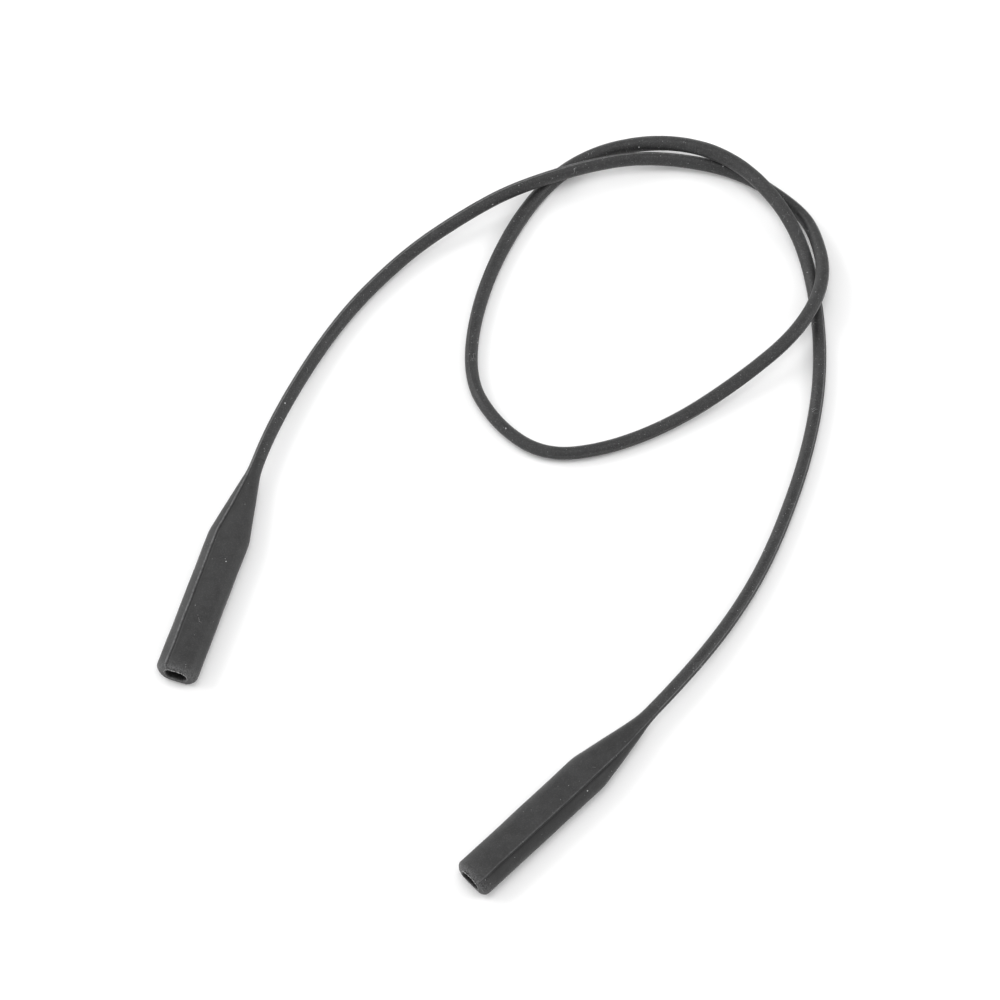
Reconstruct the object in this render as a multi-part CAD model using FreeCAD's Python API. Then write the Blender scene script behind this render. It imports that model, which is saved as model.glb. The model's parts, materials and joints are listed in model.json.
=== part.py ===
import FreeCAD, Part
import math
import os

# Retainer strap for eyeglasses: a round neck cord that ends in two hollow temple sleeves,
# one soft moulding. It lies on a flat surface at z = 0 in a loose overhand loop, +Z up.
# The origin is on that surface, midway between the outer limits of the two sleeves.
# Millimetres. "Left" and "right" are the ends at -X and +X.

# Driving dimensions
CORD_DIAMETER = 2.7
SLEEVE_WIDTH = 8.4
SLEEVE_HEIGHT = 5.1
SLEEVE_CORNER = 2.2          # corner radius of the sleeve's section
STRAIGHT_LENGTH = 33.0       # from the mouth to the start of the taper
TAPER_LENGTH = 19.0          # from there to the neck, where the cord begins
NECK_CORNER = 1.2            # corner radius at the neck, nearly round
SOCKET_WIDTH = 4.6
SOCKET_HEIGHT = 3.0
SOCKET_CORNER = 1.3
SOCKET_DEPTH = 30.0
MOUTH_ROUNDING = 0.5

# The taper's sections: share of TAPER_LENGTH, and share of the way from the neck's size
# back to the full size. Soft shoulder, straight cone, then a hollow run-out into the cord.
TAPER_SECTIONS = [(0.0, 1.0), (0.11, 0.93), (0.24, 0.77), (0.68, 0.25), (0.84, 0.07), (1.0, 0.0)]

# Where each sleeve lies: centre of its mouth on the surface, and the heading from mouth to neck
SLEEVES = {
    "left_temple_sleeve": {"mouth": (-45.4, 0.0), "heading": 73.0},
    "right_temple_sleeve": {"mouth": (13.0, -47.0), "heading": 47.0},
}

SLEEVE_LENGTH = STRAIGHT_LENGTH + TAPER_LENGTH
AXIS_HEIGHT = SLEEVE_HEIGHT / 2
LYING = CORD_DIAMETER / 2    # height of the cord's centre where it lies on the surface
OVER = 4.4                   # height of its centre where it passes over itself
LEAD = 13.0                  # first and last run, straight out of a neck

# The cord's route between the necks, from the left one: x, y and height of the centre line.
# It passes over itself three times, over and under in turn, as a loose overhand loop does.
ROUTE = [
    (-14.0, 85.0, 2.2),
    (-2.5, 99.0, 2.3),
    (9.5, 109.0, 3.2),
    (22.5, 116.0, OVER),      # over the returning strand
    (37.5, 122.0, OVER),
    (54.0, 124.5, 2.3),
    (69.5, 121.0, LYING),     # under it
    (77.0, 112.5, LYING),
    (83.0, 105.5, 3.1),
    (84.5, 92.0, OVER),       # over it again
    (79.5, 81.5, OVER),
    (67.0, 69.5, 2.8),
    (53.5, 60.5, LYING),
    (40.5, 53.5, LYING),
    (27.5, 52.5, LYING),      # the turn at the front of the loop
    (17.0, 59.5, LYING),
    (11.5, 73.0, LYING),
    (14.5, 93.0, LYING),
    (24.0, 115.0, LYING),
    (37.0, 126.0, LYING),
    (52.0, 128.0, 4.0),
    (65.5, 123.5, OVER),      # over the first strand
    (75.5, 111.5, OVER),
    (82.0, 98.0, LYING),      # under it
    (83.5, 76.5, LYING),
    (80.0, 53.0, LYING),
    (73.5, 30.0, LYING),
    (66.0, 15.5, 1.8),
]

ARC_SHARE = 0.45             # how much of the shorter run an arc takes up
UP = FreeCAD.Vector(0, 0, 1)


def section_wire(x, width, height, corner):
    """Rounded rectangle across the X axis, centred on it, at the distance x."""
    half_w, half_h = width / 2, height / 2
    flat_w, flat_h = half_w - corner, half_h - corner
    bend = corner * math.sqrt(0.5)
    edges = []
    # One corner with the flat that follows it, for each quarter of the section
    for turn in range(4):
        reach_a, reach_b = (flat_w, flat_h) if turn % 2 == 0 else (flat_h, flat_w)
        spin = FreeCAD.Rotation(FreeCAD.Vector(1, 0, 0), 90 * turn)

        def at(a, b):
            return FreeCAD.Vector(x, 0, 0) + spin.multVec(FreeCAD.Vector(0, a, b))

        start = at(reach_a + corner, reach_b)
        middle = at(reach_a + bend, reach_b + bend)
        end = at(reach_a, reach_b + corner)
        edges.append(Part.Arc(start, middle, end).toShape())
        edges.append(Part.LineSegment(end, at(-reach_a, reach_b + corner)).toShape())
    return Part.Wire(edges)


def prism(start, length, width, height, corner):
    face = Part.Face(section_wire(start, width, height, corner))
    return face.extrude(FreeCAD.Vector(length, 0, 0))


def taper_wire(along, share):
    """One section of the taper, between the neck's size and the full size."""
    def between(neck, full):
        return neck + (full - neck) * share

    return section_wire(
        STRAIGHT_LENGTH + TAPER_LENGTH * along,
        between(CORD_DIAMETER, SLEEVE_WIDTH),
        between(CORD_DIAMETER, SLEEVE_HEIGHT),
        between(NECK_CORNER, SLEEVE_CORNER),
    )


def make_sleeve():
    """The sleeve along +X, mouth at x = 0, its axis on the X axis."""
    straight = prism(0, STRAIGHT_LENGTH, SLEEVE_WIDTH, SLEEVE_HEIGHT, SLEEVE_CORNER)
    rim = [edge for edge in straight.Edges if edge.BoundBox.XMax < 0.001]
    straight = straight.makeFillet(MOUTH_ROUNDING, rim)
    taper = Part.makeLoft([taper_wire(*section) for section in TAPER_SECTIONS], True)
    outside = straight.fuse(taper)
    socket = prism(-1, SOCKET_DEPTH + 1, SOCKET_WIDTH, SOCKET_HEIGHT, SOCKET_CORNER)
    return outside.cut(socket)


def heading_vector(degrees):
    return FreeCAD.Vector(math.cos(math.radians(degrees)), math.sin(math.radians(degrees)), 0)


def place_sleeve(sleeve, lie):
    mouth = FreeCAD.Vector(lie["mouth"][0], lie["mouth"][1], AXIS_HEIGHT)
    placed = sleeve.copy()
    placed.Placement = FreeCAD.Placement(mouth, FreeCAD.Rotation(UP, lie["heading"]))
    return placed


def neck_points(lie):
    """The neck's centre, and the point one lead further out along the sleeve's axis."""
    mouth = FreeCAD.Vector(lie["mouth"][0], lie["mouth"][1], AXIS_HEIGHT)
    out = heading_vector(lie["heading"])
    return mouth + out * SLEEVE_LENGTH, mouth + out * (SLEEVE_LENGTH + LEAD)


def cord_points():
    left_neck, left_lead = neck_points(SLEEVES["left_temple_sleeve"])
    right_neck, right_lead = neck_points(SLEEVES["right_temple_sleeve"])
    # The leads sink a little from the necks' height towards the surface
    left_lead.z = 2.5
    right_lead.z = 2.3
    route = [FreeCAD.Vector(*point) for point in ROUTE]
    return [left_neck, left_lead] + route + [right_lead, right_neck]


def cord_path(points):
    """Straight runs joined by tangent arcs, and the arcs' radii."""
    edges, radii = [], []
    here = points[0]
    for before, corner, after in zip(points, points[1:], points[2:]):
        inward, outward = corner - before, after - corner
        setback = ARC_SHARE * min(inward.Length, outward.Length)
        half_turn = inward.getAngle(outward) / 2
        radius = setback / math.tan(half_turn)
        inward.normalize()
        outward.normalize()
        start, end = corner - inward * setback, corner + outward * setback
        to_centre = (outward - inward).normalize()
        top = corner + to_centre * (radius / math.cos(half_turn) - radius)
        edges.append(Part.LineSegment(here, start).toShape())
        edges.append(Part.Arc(start, top, end).toShape())
        radii.append(radius)
        here = end
    edges.append(Part.LineSegment(here, points[-1]).toShape())
    return Part.Wire(edges), radii


def make_cord():
    points = cord_points()
    path, radii = cord_path(points)
    ring = Part.makeCircle(CORD_DIAMETER / 2, points[0], points[1] - points[0])
    tube = path.makePipeShell([Part.Wire([ring])], True, False)
    section = math.pi * CORD_DIAMETER ** 2 / 4
    print("cord length %.1f mm" % path.Length)
    print("cord radii, mm:", " ".join("%.1f" % radius for radius in radii))
    print("tube volume %.1f mm3, section times length %.1f mm3" % (tube.Volume, section * path.Length))
    return tube


os.makedirs("parts", exist_ok=True)
plain_sleeve = make_sleeve()
parts = {name: place_sleeve(plain_sleeve, lie) for name, lie in SLEEVES.items()}
parts["neck_cord"] = make_cord()
for name, shape in parts.items():
    print(name, "valid", shape.isValid(), "solids", len(shape.Solids), "volume %.1f" % shape.Volume)
    shape.exportStep("parts/%s.step" % name)
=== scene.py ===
import json
import math

import bmesh
import bpy
import numpy as np
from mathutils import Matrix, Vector, noise


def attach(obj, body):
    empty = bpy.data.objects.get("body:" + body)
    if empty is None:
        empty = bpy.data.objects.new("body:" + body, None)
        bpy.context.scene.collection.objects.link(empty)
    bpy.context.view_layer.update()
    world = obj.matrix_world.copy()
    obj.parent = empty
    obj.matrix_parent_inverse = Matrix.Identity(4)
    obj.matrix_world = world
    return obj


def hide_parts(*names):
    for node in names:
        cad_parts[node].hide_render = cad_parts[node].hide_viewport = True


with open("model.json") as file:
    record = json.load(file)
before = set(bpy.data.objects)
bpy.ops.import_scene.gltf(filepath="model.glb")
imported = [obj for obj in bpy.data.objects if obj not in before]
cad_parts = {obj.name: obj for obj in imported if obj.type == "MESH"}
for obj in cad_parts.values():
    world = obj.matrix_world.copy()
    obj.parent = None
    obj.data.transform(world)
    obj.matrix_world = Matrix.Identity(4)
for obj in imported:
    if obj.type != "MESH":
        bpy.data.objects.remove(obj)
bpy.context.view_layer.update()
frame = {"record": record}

# Looks of a moulded silicone eyeglasses strap: a neck cord and two hollow temple sleeves.
# Lengths are in millimetres, as in the CAD, unless a name ends in _M; MM makes them metres.
MM = 0.001

# ---------------------------------------------------------------- sizes, as in the CAD
CORD_DIAMETER = 2.7
SLEEVE_WIDTH = 8.4
SLEEVE_HEIGHT = 5.1
SLEEVE_CORNER = 2.2
SLEEVE_LENGTH = 52.0
SOCKET_WIDTH = 4.6
SOCKET_HEIGHT = 3.0
SOCKET_CORNER = 1.3
SOCKET_DEPTH = 30.0

# The cord's route from the left neck to the right neck, in metres: the CAD's points, most of
# them moved a little to follow the photograph
ROUTE_M = [
    (-0.0302, 0.0497, 0.00255), (-0.0273, 0.0593, 0.0025), (-0.0150, 0.0839, 0.0016),
    (-0.0019, 0.0998, 0.0018), (0.0101, 0.1090, 0.0031), (0.0220, 0.1160, 0.0044),
    (0.0405, 0.1225, 0.0044), (0.0530, 0.1246, 0.0023), (0.0675, 0.1218, 0.00142),
    (0.0785, 0.1130, 0.00142), (0.0825, 0.1060, 0.0026), (0.0845, 0.0930, 0.0044),
    (0.0790, 0.0805, 0.0044), (0.0675, 0.0700, 0.0028), (0.0535, 0.0600, 0.00142),
    (0.0395, 0.0535, 0.00142), (0.0270, 0.0520, 0.00150), (0.0175, 0.0595, 0.00150),
    (0.0115, 0.0715, 0.00150), (0.0145, 0.0930, 0.00145), (0.0245, 0.1150, 0.00142),
    (0.0365, 0.1265, 0.00142), (0.0525, 0.1280, 0.0040), (0.0660, 0.1232, 0.0045),
    (0.0760, 0.1110, 0.0048), (0.0815, 0.0985, 0.00142), (0.0835, 0.0755, 0.00142),
    (0.0805, 0.0540, 0.00142), (0.0730, 0.0305, 0.00142), (0.0655, 0.0150, 0.0018),
    (0.0558, 0.0004, 0.00245), (0.0482, -0.0087, 0.00255),
]

# ---------------------------------------------------------------- what the looks add to the cord
CORD_WIDE = 1.43         # half of the cord's oval section, out to its two seams
CORD_THIN = 1.28         # and between them
SEAM_HEIGHT = 0.09       # the moulding's parting seam stands proud of the surface
SEAM_WIDTH = 0.15
CORD_CLEFT_AT = 0.36     # a cleft runs beside the upper seam, on its left, with painted shade in it
CORD_CLEFT_WIDTH = 0.16
CORD_CLEFT_DEPTH = 0.04
CORD_FADE = 4.0          # the cord's unevenness fades out over this length at the necks
GIRTH_UNEVEN = 0.012     # the cord's girth varies by this share
# The seam's height comes and goes along the cord: its mean share, and what long and short
# waves add to it
CORD_SEAM_MEAN = 0.8
CORD_SEAM_LONG_WAVES = 0.45
CORD_SEAM_SHORT_WAVES = 0.25

# How finely the cord is drawn: points of its line to each control point of the route, points
# round its section besides those at the two seams, and the angles of those beside a seam
LINE_RESOLUTION = 26
CORD_POINTS = 34
CORD_SEAM_POINTS = [2.5, 4.5, 6.5, 9]
# Values along the cord are eased over this many samples, each with this many neighbours on
# either side
KEY_SAMPLES = 1200
KEY_REACH = 14

# How the parting seam turns round the cord: distance from the left neck, and the seam's
# angle in degrees from straight up towards the left-hand side of someone walking the cord
SEAM_TURN = [
    (0, 27), (48, 16), (96, 8), (120, 17), (144, 26), (160, 43), (180, 74), (200, 92),
    (214, 66), (240, 56), (262, 13), (278, 27), (290, 52), (306, 66), (318, 64), (336, 57),
    (367, 52), (384, 45), (398, 38), (432, 44), (468, 50), (505, 53),
]
# How much the painted highlight on the seam, and the painted shade beside it, show, by the same
# distance
SEAM_PAINTED_LIGHT = [(0, 1), (196, 1), (212, 0.15), (268, 0.15), (290, 0.4), (310, 1), (505, 1)]

# ---------------------------------------------------------------- and to the sleeves
# Outline of the outer skin: distance from the mouth, share of the way from the cord's size to
# the full size
SLEEVE_TAPER = [
    (0, 1.0), (33.3, 1.0), (34.6, 0.92), (47.2, 0.167), (49.0, 0.075), (50.6, 0.022), (52, 0.0),
]
OVAL_SHARE = 0.2         # below this share the section turns into the cord's oval
SLEEVE_SEAM = 45.0       # the seam's angle from straight up on the straight part
SLEEVE_SEAM_HEIGHT = 0.13
SLEEVE_SEAM_WIDTH = 0.19
GROOVE_AT = 0.32         # a shallow groove runs beside the seam
GROOVE_WIDTH = 0.17
GROOVE_DEPTH = 0.14
PAINTED_SHADE_START = 0.15       # and painted shade is darkest a little way from it
SLEEVE_SWELL = 0.1       # each side of a sleeve stands this much proud of the CAD
CROWN = 0.6              # how far a sleeve's flat faces are rounded towards an oval
SLEEVE_UNEVEN = 0.07     # height of the soft hollows and swells
UNEVEN_ALONG = 0.16      # and how often they come to a millimetre, along the sleeve
UNEVEN_ROUND = 0.35      # and across it
SEAM_WANDER = 0.1        # how far the seam strays from its line
SLEEVE_SEAM_LONG_WAVES = 0.35        # how its height comes and goes, as on the cord
SLEEVE_SEAM_SHORT_WAVES = 0.3
NIB_WIDTH = 0.35
NECK_LEAN_LENGTH = 12.0  # a neck leans aside over this length
# Past the neck the skin dips into the cord, in rings this far apart, each smaller by a share
NECK_DIP_STEP = 0.25
NECK_DIP_SHRINK = 0.009
# Points round a sleeve's section besides those at its two seams, and the angles of those
SLEEVE_POINTS = 116
SLEEVE_SEAM_POINTS = [0.8, 1.5, 2.2, 3, 3.8, 4.7, 5.7, 6.8, 8]

# ---------------------------------------------------------------- and to mouths and sockets
MOUTH_WIDTH = 4.35       # a little smaller than the socket behind it
MOUTH_HEIGHT = 2.8
MOUTH_RISE = 0.25        # and this much higher up
MOUTH_ROUND = 0.7        # how far the mouth's two sides are rounded back
MOUTH_CUT_LENGTH = 5.0   # the mouth's uneven cut fades out over this length
MOUTH_REACH_LENGTH = 25.0            # and its reach past the CAD's mouth over this one
LIP_BELOW = -0.6         # the lower lip begins below this height
LIP_FADE = 1.5           # and its setback grows over this height and length
# The ragged flash: size of its notches, how often they come round the mouth, and how often
# and how large the finer ones are
MOUTH_RAGGED = 0.13
NOTCH_RATE = 3.1
FINE_NOTCH_RATE = 11
FINE_NOTCH_SHARE = 0.9
# Pale chalkiness on the mouth's edge, with more on its upper side as a painted highlight, on the
# skin behind it and in the socket, and the lengths over which it fades out
EDGE_CHALK = 0.12
UPPER_EDGE_HIGHLIGHT = 0.45
EDGE_CHALK_LENGTH = 1.2
SKIN_CHALK = 0.3
SKIN_CHALK_LENGTH = 3.5
SOCKET_CHALK_LENGTH = 9.0
SOCKET_END_INSET = 0.35  # the socket's blind end is bevelled
SOCKET_END_LENGTH = 0.3

# What differs between the two: "reach" is how far the mouth stands out past the CAD's, "skew"
# and "setback" how its sides and its lower lip are cut, "lean" how far the neck leans aside,
# "shows" how strong the seam's painted highlight is, "cleft_shade" how far from the seam the
# painted shade is darkest, and "nibs" are bits of flash on the seam: distance from the mouth,
# height
LOOKS = {
    "left_sleeve": {
        "reach": 0.72, "skew": 0.22, "setback": 0.1, "lean": 0.0, "shows": 1.0, "cleft_shade": 0.25,
        "nibs": [(18.2, 0.12), (34.2, 0.10), (36.6, 0.08)],
    },
    "right_sleeve": {
        "reach": 0.75, "skew": -0.45, "setback": 0.5, "lean": 0.36, "shows": 0.62, "cleft_shade": 0.5,
        "nibs": [(18.5, 0.10), (9.0, 0.05)],
    },
}

# The mouth, from inside the socket out to its face: distance from the mouth, share of the way
# from the socket's outline to the mouth's, how much larger than that outline, raggedness, how
# far the flash stands out, and how chalky it is
MOUTH_RINGS = [
    (2.2, 0.15, 0.0, 0.0, 0.0, 0.3), (1.4, 0.6, 0.0, 0.3, 0.0, 0.3),
    (0.8, 0.92, 0.0, 0.7, 0.0, 0.3), (0.4, 1.0, 0.0, 1.0, 0.0, 0.6),
    (0.16, 1.0, 0.03, 1.0, -0.06, 2.0), (0.02, 1.0, 0.14, 1.0, -0.16, 2.4),
    (0.0, 1.0, 0.30, 0.8, -0.12, 2.0), (0.0, 1.0, 0.48, 0.4, 0.0, 0.5),
]
# Its rounded outer edge: distance from the mouth, how far inside the full outline
EDGE_RINGS = [(0.0, 0.60), (0.05, 0.40), (0.16, 0.22), (0.32, 0.10), (0.55, 0.03), (0.9, 0.0)]

# ---------------------------------------------------------------- colours
DARK = (0.012, 0.012, 0.0122, 1)
LIGHT = (0.021, 0.021, 0.0213, 1)
# PALE serves chalk, dust grain and the painted highlight on the seams
PALE = (0.135, 0.135, 0.137, 1)
DUST = (0.42, 0.42, 0.422, 1)
# the colour of the painted shade beside the seams
PAINTED_SHADE = (0.003, 0.003, 0.0031, 1)
PAPER = (0.93, 0.93, 0.93, 1)
WHITE = (1, 1, 1, 1)

# ---------------------------------------------------------------- camera and light
CAMERA_ELEVATION = 57.0
CAMERA_DISTANCE_M = 1.7
VIEW_WIDTH_M = 0.2
AIM_M = Vector((0.0183, 0.0424, 0.0))
FLOOR_REACH_M = 1.5
LIGHT_DISTANCE_M = 1.1
HORIZON_LIGHT = 1.26     # the tent's walls are brighter than its roof
ZENITH_LIGHT = 0.6


def make_camera():
    data = bpy.data.cameras.new("camera")
    data.sensor_width = 36.0
    data.lens = data.sensor_width * CAMERA_DISTANCE_M / VIEW_WIDTH_M
    data.clip_start, data.clip_end = 0.05, 10.0
    camera = bpy.data.objects.new("camera", data)
    bpy.context.scene.collection.objects.link(camera)
    tilt = math.radians(CAMERA_ELEVATION)
    back = Vector((0, -math.cos(tilt), math.sin(tilt)))
    camera.location = AIM_M + back * CAMERA_DISTANCE_M
    camera.rotation_mode = "QUATERNION"
    camera.rotation_quaternion = (-back).to_track_quat("-Z", "Y")
    bpy.context.scene.camera = camera


# ================================================================ shared geometry
def wander(along, per_mm, seed):
    """Smooth noise from -1 to 1 along a line, for one distance or an array of them."""
    places = np.atleast_1d(along * per_mm)
    return np.array([noise.noise(Vector((float(v), 7.3 * seed, 1.7))) for v in places])


def bell(x, width):
    return np.exp(-(x / width) ** 2)


def smooth_step(x):
    x = np.clip(x, 0, 1)
    return x * x * (3 - 2 * x)


def ring_angles(plain_count, beside_degrees):
    """Angles round a section, close together beside the two seams, at 0 and half a turn."""
    beside = np.radians(beside_degrees)
    reach = beside.max() * 1.3
    plain = np.linspace(reach, math.pi - reach, plain_count // 2)
    half = np.concatenate([[0], beside, plain, math.pi - beside[::-1]])
    return np.concatenate([half, half + math.pi])


def rounded_rectangle_radius(angle, half_w, half_h, corner):
    """Distance from the centre to a rounded rectangle's outline, at an angle from its width."""
    c, s = np.abs(np.cos(angle)), np.abs(np.sin(angle))
    corner = min(corner, half_w, half_h)
    flat_w, flat_h = half_w - corner, half_h - corner
    side = half_w / np.maximum(c, 1e-9)
    top = half_h / np.maximum(s, 1e-9)
    along = c * flat_w + s * flat_h
    across = np.maximum(along ** 2 - (flat_w ** 2 + flat_h ** 2 - corner ** 2), 0)
    arc = along + np.sqrt(across)
    return np.where(side * s <= flat_h, side, np.where(top * c <= flat_w, top, arc))


def oval_radius(angle, half_w, half_h):
    return half_w * half_h / np.hypot(half_h * np.cos(angle), half_w * np.sin(angle))


def from_polar(radius, angles):
    return np.stack([radius * np.cos(angles), radius * np.sin(angles)], axis=1)


def outward(points):
    """Outward normals of a closed outline of points in a plane, listed anticlockwise."""
    step = np.roll(points, -1, axis=0) - np.roll(points, 1, axis=0)
    normal = np.stack([step[:, 1], -step[:, 0]], axis=1)
    return normal / np.linalg.norm(normal, axis=1)[:, None]


def on_floor(ring):
    """The same ring, pressed flat where it would sink into the floor."""
    ring[:, 2] = np.maximum(ring[:, 2], 0)
    return ring


def build_piece(name, rings, attributes, material):
    """A closed skin through rings of points, capped at both ends."""
    count = len(rings[0])
    faces = []
    for r in range(len(rings) - 1):
        for k in range(count):
            a, b = r * count + k, r * count + (k + 1) % count
            faces.append((a, b, b + count, a + count))
    last = (len(rings) - 1) * count
    faces.append(tuple(reversed(range(count))))
    faces.append(tuple(range(last, last + count)))
    mesh = bpy.data.meshes.new(name)
    mesh.from_pydata([tuple(point) for ring in rings for point in ring], [], faces)
    mesh.validate()
    skin = bmesh.new()
    skin.from_mesh(mesh)
    bmesh.ops.recalc_face_normals(skin, faces=skin.faces)
    skin.to_mesh(mesh)
    skin.free()
    mesh.shade_smooth()
    for cap in mesh.polygons[-2:]:
        cap.use_smooth = False
    for key, values in attributes.items():
        layer = mesh.attributes.new(key, "FLOAT", "POINT")
        layer.data.foreach_set("value", np.asarray(values, np.float32))
    mesh.materials.append(material)
    piece = bpy.data.objects.new(name, mesh)
    bpy.context.scene.collection.objects.link(piece)
    return piece


# ================================================================ cord
def nurbs_line(points):
    """The smooth line that has the route's points as its control points, as points in order."""
    curve = bpy.data.curves.new("cord_line", "CURVE")
    curve.dimensions = "3D"
    curve.resolution_u = LINE_RESOLUTION
    spline = curve.splines.new("NURBS")
    spline.points.add(len(points) - 1)
    for place, p in zip(spline.points, points):
        place.co = (*p, 1)
    spline.order_u = 3
    spline.use_endpoint_u = True
    holder = bpy.data.objects.new("cord_line", curve)
    line = bpy.data.meshes.new_from_object(holder)
    path = [v.co.copy() for v in line.vertices]
    bpy.data.objects.remove(holder)
    return path


def smooth_keys(keys, at):
    """Values between keys, eased so that nothing kinks at a key."""
    x, y = np.array(keys, float).T
    fine = np.linspace(x[0], x[-1], KEY_SAMPLES)
    weights = np.hanning(2 * KEY_REACH + 1)
    padded = np.pad(np.interp(fine, x, y), KEY_REACH, mode="edge")
    return np.interp(at, fine, np.convolve(padded, weights / weights.sum(), "valid"))


def make_cord(material):
    path = nurbs_line(ROUTE_M)
    line = np.array([list(p) for p in path])
    step = np.linalg.norm(np.diff(line, axis=0), axis=1)
    along = np.concatenate([[0], np.cumsum(step)]) / MM
    tangent = np.gradient(line, axis=0)
    tangent /= np.linalg.norm(tangent, axis=1)[:, None]
    left = np.cross([0, 0, 1], tangent)
    left /= np.linalg.norm(left, axis=1)[:, None]
    top = np.cross(tangent, left)
    turn = np.radians(smooth_keys(SEAM_TURN, along))
    painted_light = smooth_keys(SEAM_PAINTED_LIGHT, along)

    # The section: an oval, a seam on two sides, and a cleft beside the upper one
    angles = ring_angles(CORD_POINTS, CORD_SEAM_POINTS)
    plain = oval_radius(angles, CORD_WIDE, CORD_THIN)
    off = np.sin(angles) * CORD_WIDE
    seam = bell(off, SEAM_WIDTH)
    cleft_shade = bell(off - CORD_CLEFT_AT, CORD_CLEFT_WIDTH) * (np.cos(angles) > 0)

    # Uneven along its length, but plain at both necks, where the sleeves' skins take over
    fade = np.clip(np.minimum(along, along[-1] - along) / CORD_FADE, 0, 1)
    long_waves = CORD_SEAM_LONG_WAVES * wander(along, per_mm=0.23, seed=1)
    short_waves = CORD_SEAM_SHORT_WAVES * wander(along, per_mm=1.1, seed=2)
    ridge = 1 + (CORD_SEAM_MEAN + long_waves + short_waves - 1) * fade
    girth = 1 + GIRTH_UNEVEN * wander(along, per_mm=0.08, seed=3) * fade
    rings, seams, cleft_shades = [], [], []
    for k in range(len(line)):
        proud = seam * SEAM_HEIGHT * ridge[k] - cleft_shade * CORD_CLEFT_DEPTH * fade[k]
        radius = (plain * girth[k] + proud) * MM
        direction = angles + turn[k]
        up = np.outer(radius * np.cos(direction), top[k])
        aside = np.outer(radius * np.sin(direction), left[k])
        rings.append(on_floor(line[k] + up + aside))
        # Marks for the painted highlight along the seam and the painted shade in the cleft beside
        # it
        seams.append(seam * (0.6 + 0.4 * ridge[k]) * painted_light[k])
        cleft_shades.append(cleft_shade * painted_light[k])
    marks = {
        "seam": np.concatenate(seams), "cleft_shade": np.concatenate(cleft_shades),
        "rim": np.zeros(len(line) * len(angles)),
    }
    return build_piece("cord", rings, marks, material), path, along[-1]


# ================================================================ sleeves
def socket_mount(name):
    """Centre of a sleeve's mouth and the direction from mouth to neck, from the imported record."""
    mount = next(m for m in frame["record"]["mounts"] if m["name"] == name)
    return np.array(Vector(mount["pos_m"])), np.array(-Vector(mount["axis"]).normalized())


def taper_share(s):
    x, y = np.array(SLEEVE_TAPER).T
    nearby = [np.interp(s + d, x, y) for d in (-0.8, -0.4, 0, 0.4, 0.8)]
    return float(np.clip(np.mean(nearby), 0, 1))


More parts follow.
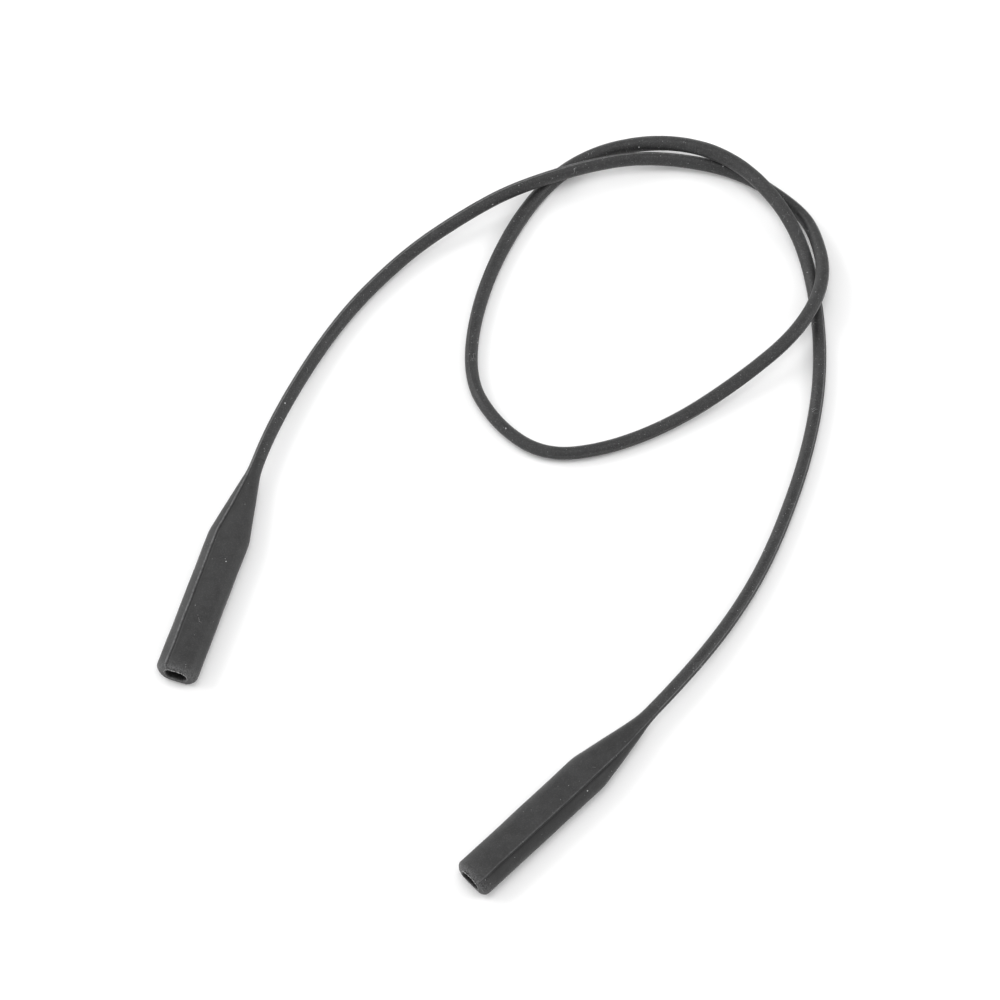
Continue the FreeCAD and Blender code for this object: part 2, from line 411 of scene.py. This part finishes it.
def make_sleeve(name, mount, strand_sign, neck_turn, seed, material):
    """strand_sign is 1 where the strand leaves this sleeve and -1 where it comes in."""
    look = LOOKS[name]
    mouth, inward = socket_mount(mount)
    top = np.array([0.0, 0.0, 1.0])
    left = np.cross(top, inward * strand_sign)
    angles = ring_angles(SLEEVE_POINTS, SLEEVE_SEAM_POINTS)
    count = len(angles)
    flat = np.zeros(count)
    seam_turn = math.radians(SLEEVE_SEAM)
    rings, seams, rims, cleft_shades = [], [], [], []

    def add(s, shape, seam=flat, rim=flat, cleft_shade=flat, push=0.0):
        """One ring from an outline in the section's own plane: height, then left."""
        bend = max(0.0, (s - SLEEVE_LENGTH) / NECK_LEAN_LENGTH + 1)
        lean = -look["lean"] * bend ** 2
        slope = -look["lean"] * 2 * bend / NECK_LEAN_LENGTH
        # The mouth isn't cut square: one side is longer, and its lower lip is set back
        fade = max(0.0, 1 - max(s, 0.0) / MOUTH_CUT_LENGTH) ** 2
        side = shape[:, 1] / (SLEEVE_WIDTH / 2)
        sides = MOUTH_ROUND * np.clip(2 * np.abs(side) - 1, 0, 1) ** 2
        low = np.clip((LIP_BELOW - shape[:, 0]) / LIP_FADE, 0, 1) * max(0.0, 1 - abs(s) / LIP_FADE)
        reach = look["reach"] * max(0.0, 1 - max(s, 0.0) / MOUTH_REACH_LENGTH)
        along = s - reach + (look["skew"] * side + sides) * fade + look["setback"] * low + push
        ring = mouth + np.outer(along, inward) * MM + left * lean * MM
        ring = ring + np.outer(shape[:, 0] * MM, top)
        ring = ring + np.outer(shape[:, 1] * MM, left - inward * slope)
        rings.append(on_floor(ring))
        seams.append(seam)
        rims.append(flat + rim)
        cleft_shades.append(cleft_shade)

    def outline(radius_of, turn):
        """An outline of a radius that is a function of the angle from the section's width."""
        direction = angles + turn
        # The width lies along left, a quarter turn from up
        return from_polar(radius_of(direction + math.pi / 2), direction)

    def opening(share, grow):
        """The socket's outline: share is 0 deep inside and 1 at the mouth, which is smaller."""
        half_w = (SOCKET_WIDTH + (MOUTH_WIDTH - SOCKET_WIDTH) * share) / 2 + grow
        half_h = (SOCKET_HEIGHT + (MOUTH_HEIGHT - SOCKET_HEIGHT) * share) / 2 + grow
        corner = min(SOCKET_CORNER + grow, half_h)
        shape = outline(lambda a: rounded_rectangle_radius(a, half_w, half_h, corner), seam_turn)
        return shape + np.array([MOUTH_RISE * share, 0.0])

    def from_seam(shape):
        """Signed distance along the skin from the nearer of the two seams."""
        gap = np.linalg.norm(np.diff(np.vstack([shape, shape[:1]]), axis=0), axis=1)
        forward = np.concatenate([[0], np.cumsum(gap)[:-1]])
        half = gap.sum() / 2
        first, second = (
            (forward - forward[start] + half) % (2 * half) - half for start in (0, count // 2)
        )
        return strand_sign * np.where(np.abs(first) < np.abs(second), first, second)

    def skin(s, inset=0.0):
        """The outer skin's outline at a distance from the mouth, with its marks for the seam's
        painted highlight and the painted shade beside it.
        """
        share = taper_share(s)
        neck = CORD_DIAMETER / 2
        half_w = neck + (SLEEVE_WIDTH / 2 + SLEEVE_SWELL - neck) * share
        half_h = neck + (SLEEVE_HEIGHT / 2 - neck) * share
        corner = neck + (SLEEVE_CORNER - neck) * share
        turn = math.radians(SLEEVE_SEAM + (neck_turn - SLEEVE_SEAM) * (1 - share))

        def crowned(angle):
            square = rounded_rectangle_radius(angle, half_w - inset, half_h - inset, corner)
            return (1 - CROWN) * square + CROWN * oval_radius(angle, half_w - inset, half_h - inset)

        # Near the neck the section becomes the cord's own oval, turned with the seam
        swell = (half_w + half_h) / CORD_DIAMETER
        oval = from_polar(oval_radius(angles, CORD_WIDE * swell, CORD_THIN * swell), angles + turn)
        mix = smooth_step(1 - share / OVAL_SHARE)
        shape = outline(crowned, turn) * (1 - mix) + oval * mix

        stray = SEAM_WANDER * wander(s, per_mm=0.22, seed=seed + 9)[0]
        off = from_seam(shape) + stray * (1 - mix)
        seam = bell(off, SLEEVE_SEAM_WIDTH)
        groove = bell(off + GROOVE_AT, GROOVE_WIDTH)
        long_wave = SLEEVE_SEAM_LONG_WAVES * wander(s, per_mm=0.45, seed=seed)[0]
        short_wave = SLEEVE_SEAM_SHORT_WAVES * wander(s, per_mm=1.7, seed=seed + 5)[0]
        rough = 1 + long_wave + short_wave
        nib = sum(height * math.exp(-((s - at) / NIB_WIDTH) ** 2) for at, height in look["nibs"])
        proud = SLEEVE_SEAM_HEIGHT * (1 - mix) * rough + SEAM_HEIGHT * mix + nib
        # Soft hollows and swells of a thin-walled moulding over its socket
        uneven = np.array([
            noise.noise(Vector((UNEVEN_ALONG * s, UNEVEN_ROUND * a, UNEVEN_ROUND * b + 11 * seed)))
            for a, b in shape
        ])
        lift = seam * proud + (uneven * SLEEVE_UNEVEN - groove * GROOVE_DEPTH) * (1 - mix)
        # Painted shade on the skin beside the seam, darkest a little way past its groove
        away = np.maximum(-off - PAINTED_SHADE_START, 0) / look["cleft_shade"]
        return (
            shape + outward(shape) * lift[:, None],
            seam * (0.6 + 0.4 * rough) * look["shows"],
            away * np.exp(1 - away) * (1 - mix),
        )

    # Socket, from its blind end out towards the mouth
    add(SOCKET_DEPTH, opening(0, -SOCKET_END_INSET))
    add(SOCKET_DEPTH - SOCKET_END_LENGTH, opening(0, 0))
    for s in np.linspace(SOCKET_DEPTH - 3, 3.0, 11):
        add(s, opening(0, 0), rim=max(0.0, 1 - s / SOCKET_CHALK_LENGTH))

    # Mouth, with ragged flash round its opening, longest and, by a painted highlight, palest on its
    # upper side
    upper = np.clip(0.25 + np.cos(angles + seam_turn), 0, 1)
    ragged = np.array([
        noise.noise(Vector((NOTCH_RATE * x, NOTCH_RATE * y, 2.3 * seed)))
        + FINE_NOTCH_SHARE * noise.noise(Vector((FINE_NOTCH_RATE * x, FINE_NOTCH_RATE * y, seed)))
        for x, y in from_polar(1, angles)
    ])
    for s, share, grow, rag, push, chalk in MOUTH_RINGS:
        shape = opening(share, grow)
        shape = shape + outward(shape) * (MOUTH_RAGGED * rag * ragged)[:, None]
        add(s, shape, rim=chalk * (0.35 + 0.65 * upper), push=push * (1 + 1.2 * ragged) * upper)

    # Outer skin, from the mouth's face to the neck
    straight, taper = np.linspace(1.3, 32, 84), np.linspace(32.4, SLEEVE_LENGTH, 56)
    for s, inset in EDGE_RINGS + [(s, 0.0) for s in np.concatenate([straight, taper])]:
        shape, seam, cleft_shade = skin(s, inset)
        # Chalk on the edge and the skin behind it, with a painted highlight adding to it on the
        # upper side
        rim = (EDGE_CHALK + UPPER_EDGE_HIGHLIGHT * upper) * max(0.0, 1 - s / EDGE_CHALK_LENGTH)
        rim = rim + SKIN_CHALK * max(0.0, 1 - s / SKIN_CHALK_LENGTH)
        add(s, shape, seam, rim, cleft_shade)

    # The neck's skin closes over the cord's end and dips into it
    shape, seam, _ = skin(SLEEVE_LENGTH)
    for step in range(1, 6):
        add(SLEEVE_LENGTH + NECK_DIP_STEP * step, shape * (1 - NECK_DIP_SHRINK * step), seam)
    marks = {
        "seam": np.concatenate(seams), "rim": np.concatenate(rims), "cleft_shade": np.concatenate(cleft_shades),
    }
    return build_piece(name, rings, marks, material)


# ================================================================ material
def silicone(name, dustiness):
    """Matt dark grey moulded silicone with dust on it, a painted highlight along its seams and
    painted shade beside them. Texture scales are per millimetre.
    """
    material = bpy.data.materials.new(name)
    material.use_nodes = True
    nodes, links = material.node_tree.nodes, material.node_tree.links
    nodes.clear()

    def node(kind, **settings):
        made = nodes.new(kind)
        for key, value in settings.items():
            setattr(made, key, value)
        return made

    def feed(socket, value):
        if isinstance(value, bpy.types.NodeSocket):
            links.new(value, socket)
        else:
            socket.default_value = value

    def sums(operation, a, b=0.0):
        made = node("ShaderNodeMath", operation=operation)
        feed(made.inputs[0], a)
        feed(made.inputs[1], b)
        return made.outputs[0]

    def plus(a, b):
        return sums("ADD", a, b)

    def minus(a, b):
        return sums("SUBTRACT", a, b)

    def times(a, b):
        return sums("MULTIPLY", a, b)

    def larger(a, b):
        return sums("MAXIMUM", a, b)

    def ramp(value, low, high):
        """0 below low, 1 above high."""
        made = node("ShaderNodeMapRange", interpolation_type="SMOOTHSTEP")
        feed(made.inputs["Value"], value)
        made.inputs["From Min"].default_value = low
        made.inputs["From Max"].default_value = high
        return made.outputs[0]

    coordinates = node("ShaderNodeTexCoord").outputs["Object"]

    def where(shift):
        """Position on the piece in millimetres, moved so that no two textures repeat."""
        made = node("ShaderNodeMapping")
        feed(made.inputs["Vector"], coordinates)
        made.inputs["Scale"].default_value = (1 / MM, 1 / MM, 1 / MM)
        made.inputs["Location"].default_value = (shift, shift * 0.7, -shift)
        return made.outputs[0]

    def grain(per_mm, detail=2.0, roughness=0.5, shift=0.0):
        made = node("ShaderNodeTexNoise")
        feed(made.inputs["Vector"], where(shift))
        made.inputs["Scale"].default_value = per_mm
        made.inputs["Detail"].default_value = detail
        made.inputs["Roughness"].default_value = roughness
        return made.outputs["Fac"]

    def specks(per_mm, radius, share, shift):
        """Uneven grains of dust: one in each Voronoi cell of a share of them."""
        cells = node("ShaderNodeTexVoronoi")
        stir = node("ShaderNodeTexNoise")
        feed(stir.inputs["Vector"], where(shift))
        stir.inputs["Scale"].default_value = 3.1
        bent = node("ShaderNodeMix", data_type="VECTOR")
        bent.inputs[0].default_value = 1.6 * radius
        feed(bent.inputs[4], where(shift))
        offset = node("ShaderNodeVectorMath", operation="ADD")
        feed(offset.inputs[0], where(shift))
        feed(offset.inputs[1], stir.outputs["Color"])
        feed(bent.inputs[5], offset.outputs[0])
        feed(cells.inputs["Vector"], bent.outputs[1])
        cells.inputs["Scale"].default_value = per_mm
        drawn = node("ShaderNodeSeparateColor")
        feed(drawn.inputs[0], cells.outputs["Color"])
        size = plus(times(drawn.outputs[1], radius * per_mm), 0.01)
        near = minus(1.0, ramp(sums("DIVIDE", cells.outputs["Distance"], size), 0.55, 1.0))
        return times(near, sums("GREATER_THAN", drawn.outputs[0], 1 - share))

    def attribute(key):
        return node("ShaderNodeAttribute", attribute_name=key).outputs["Fac"]

    def blend(a, b, share):
        made = node("ShaderNodeMix", data_type="RGBA")
        feed(made.inputs[0], share)
        feed(made.inputs[6], a)
        feed(made.inputs[7], b)
        return made.outputs[2]

    cloud = grain(per_mm=0.11, shift=61.0)
    mottle = grain(per_mm=0.55, detail=4.0, roughness=0.6)
    fine = grain(per_mm=3.6, detail=3.0, roughness=0.75, shift=11.0)

    coarse_dust = specks(per_mm=0.7, radius=0.19, share=0.30 * dustiness, shift=3.0)
    small_dust = specks(per_mm=1.9, radius=0.10, share=0.45 * dustiness, shift=5.0)
    # Lint: thin curled lines, where a contour of one noise crosses a few patches of another
    contour = sums("ABSOLUTE", minus(grain(per_mm=0.9, detail=0.0, shift=21.0), 0.5))
    line = minus(1.0, ramp(contour, 0.004, 0.010))
    rare = 0.86 - 0.12 * dustiness
    patch = ramp(grain(per_mm=0.35, detail=0.0, shift=31.0), rare, rare + 0.02)
    lint = times(times(line, patch), 0.7)
    dust = larger(larger(coarse_dust, times(small_dust, 0.6)), lint)

    # Painted highlight along the seams, broken up by patchy noise
    highlight_breakup = ramp(grain(per_mm=1.6, detail=3.0, roughness=0.6, shift=41.0), 0.34, 0.62)
    seam = times(ramp(attribute("seam"), 0.3, 0.95), plus(times(highlight_breakup, 0.6), 0.4))
    crumbs = ramp(grain(per_mm=3.4, detail=4.0, roughness=0.75, shift=51.0), 0.42, 0.58)
    rim = times(attribute("rim"), plus(times(crumbs, 0.85), 0.15))

    color = blend(DARK, LIGHT, ramp(plus(times(mottle, 0.5), times(cloud, 0.5)), 0.38, 0.62))
    color = blend(color, PALE, times(ramp(fine, 0.46, 0.76), 0.10 + 0.26 * dustiness))
    # Painted shade beside the seams
    color = blend(color, PAINTED_SHADE, times(attribute("cleft_shade"), 0.85))
    # Painted highlight along the seams
    color = blend(color, PALE, times(seam, 0.75))
    # Pale chalk on the mouth, with a painted highlight making its upper side paler
    color = blend(color, PALE, times(rim, 0.85))
    color = blend(color, DUST, times(ramp(rim, 0.8, 1.8), 0.75))
    color = blend(color, DUST, dust)

    shader = node("ShaderNodeBsdfPrincipled")
    feed(shader.inputs["Base Color"], color)
    feed(shader.inputs["Roughness"], plus(times(ramp(cloud, 0.35, 0.65), 0.14), 0.46))
    shader.inputs["IOR"].default_value = 1.43
    shader.inputs["Sheen Weight"].default_value = 0.08
    shader.inputs["Sheen Roughness"].default_value = 0.4
    height = plus(times(fine, 0.35), plus(times(mottle, 0.5), dust))
    height = plus(height, times(rim, 1.5))
    bump = node("ShaderNodeBump")
    bump.inputs["Strength"].default_value = 0.35
    bump.inputs["Distance"].default_value = 0.06 * MM
    feed(bump.inputs["Height"], height)
    feed(shader.inputs["Normal"], bump.outputs[0])
    out = node("ShaderNodeOutputMaterial")
    links.new(shader.outputs[0], out.inputs["Surface"])
    return material


# ================================================================ stage and light
def make_stage():
    mesh = bpy.data.meshes.new("floor")
    r = FLOOR_REACH_M
    mesh.from_pydata([(-r, -r, 0), (r, -r, 0), (r, r, 0), (-r, r, 0)], [], [(0, 1, 2, 3)])
    floor = bpy.data.objects.new("floor", mesh)
    bpy.context.scene.collection.objects.link(floor)
    material = bpy.data.materials.new("paper_white")
    material.use_nodes = True
    shader = material.node_tree.nodes["Principled BSDF"]
    shader.inputs["Base Color"].default_value = PAPER
    shader.inputs["Roughness"].default_value = 0.9
    shader.inputs["Specular IOR Level"].default_value = 0.2
    mesh.materials.append(material)


def softbox(name, azimuth, elevation, width, height, energy):
    """A wide soft light that faces the strap from a heading and a height above the floor."""
    data = bpy.data.lights.new(name, "AREA")
    data.shape = "ELLIPSE"
    data.size, data.size_y = width, height
    data.energy = energy
    light = bpy.data.objects.new(name, data)
    bpy.context.scene.collection.objects.link(light)
    turn, lift = math.radians(azimuth), math.radians(elevation)
    level = math.cos(lift)
    towards = Vector((level * math.cos(turn), level * math.sin(turn), math.sin(lift)))
    light.location = AIM_M + towards * LIGHT_DISTANCE_M
    light.rotation_mode = "QUATERNION"
    light.rotation_quaternion = (-towards).to_track_quat("-Z", "Y")


def make_light():
    """A white tent with a soft light low on the left and weaker ones on the right and above."""
    world = bpy.data.worlds.new("tent")
    world.use_nodes = True
    nodes, links = world.node_tree.nodes, world.node_tree.links
    height = nodes.new("ShaderNodeSeparateXYZ")
    links.new(nodes.new("ShaderNodeTexCoord").outputs["Generated"], height.inputs[0])
    fall = nodes.new("ShaderNodeMapRange")
    links.new(height.outputs[2], fall.inputs["Value"])
    fall.inputs["To Min"].default_value = HORIZON_LIGHT
    fall.inputs["To Max"].default_value = ZENITH_LIGHT
    nodes["Background"].inputs["Color"].default_value = WHITE
    links.new(fall.outputs[0], nodes["Background"].inputs["Strength"])
    bpy.context.scene.world = world
    softbox("left_softbox", azimuth=157, elevation=32, width=1.2, height=0.6, energy=6.8)
    softbox("right_fill", azimuth=0, elevation=34, width=0.55, height=0.55, energy=2.7)
    softbox("top_fill", azimuth=0, elevation=88, width=0.6, height=0.6, energy=2.4)
    bpy.context.scene.view_settings.view_transform = "Standard"


# ================================================================ the scene
make_camera()
sleeve_silicone = silicone("sleeve_silicone", dustiness=0.3)
cord_silicone = silicone("cord_silicone", dustiness=1.0)

cord, cord_line, cord_length = make_cord(cord_silicone)
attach(cord, "root")
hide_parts("neck_cord")

for name, node, mount, sign, neck_turn, seed in (
    ("left_sleeve", "left_temple_sleeve", "left_temple_socket", 1, SEAM_TURN[0][1], 1),
    ("right_sleeve", "right_temple_sleeve", "right_temple_socket", -1, SEAM_TURN[-1][1], 2),
):
    sleeve = make_sleeve(name, mount, sign, neck_turn, seed, sleeve_silicone)
    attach(sleeve, "root")
    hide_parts(node)

make_stage()
make_light()
